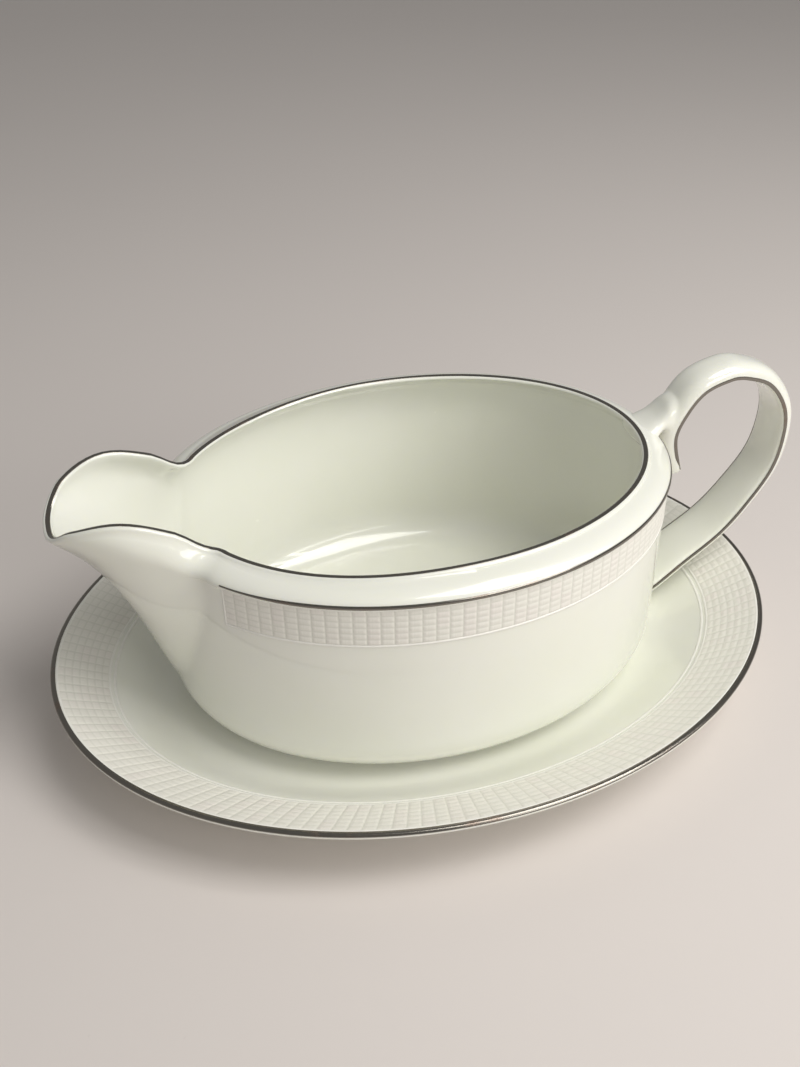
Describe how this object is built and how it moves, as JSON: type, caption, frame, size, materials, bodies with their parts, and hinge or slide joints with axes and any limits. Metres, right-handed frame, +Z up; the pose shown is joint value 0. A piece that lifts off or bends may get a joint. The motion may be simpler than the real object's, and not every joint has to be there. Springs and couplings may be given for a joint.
{
  "type": "sauce boat with stand",
  "caption": "Oval bone-china sauce boat with a pouring spout and a strap handle, lifting off its oval rimmed stand.",
  "frame": {"origin": "centre of the stand's foot, on the table", "axes": "+X from the spout to the handle, +Z up"},
  "size_m": [0.2429, 0.18, 0.0927],
  "materials": {
    "boat_china": "clear gloss glaze over warm white bone china",
    "handle_china": "clear gloss glaze over warm white bone china",
    "stand_china": "clear gloss glaze over warm white bone china",
    "platinum": "fired platinum lustre, brushed on and bright",
    "woven_enamel": "raised pearly enamel in a woven grid",
    "raised_enamel": "raised cream enamel line"
  },
  "bodies": {
    "stand": {"stand_dish": "stand_china", "stand_edge_line": "platinum", "stand_woven_band": "woven_enamel", "stand_band_border": "raised_enamel"},
    "boat": {"boat_body": "boat_china", "handle": "handle_china", "boat_rim_line": "platinum", "boat_collar_line": "platinum", "boat_woven_band": "woven_enamel", "boat_band_border": "raised_enamel", "handle_line_near": "platinum", "handle_line_far": "platinum"}
  },
  "joints": [
    {"name": "boat_lift", "type": "slide", "parent": "stand", "child": "boat", "axis": [0, 0, 1], "range_m": [0, 0.06]}
  ]
}
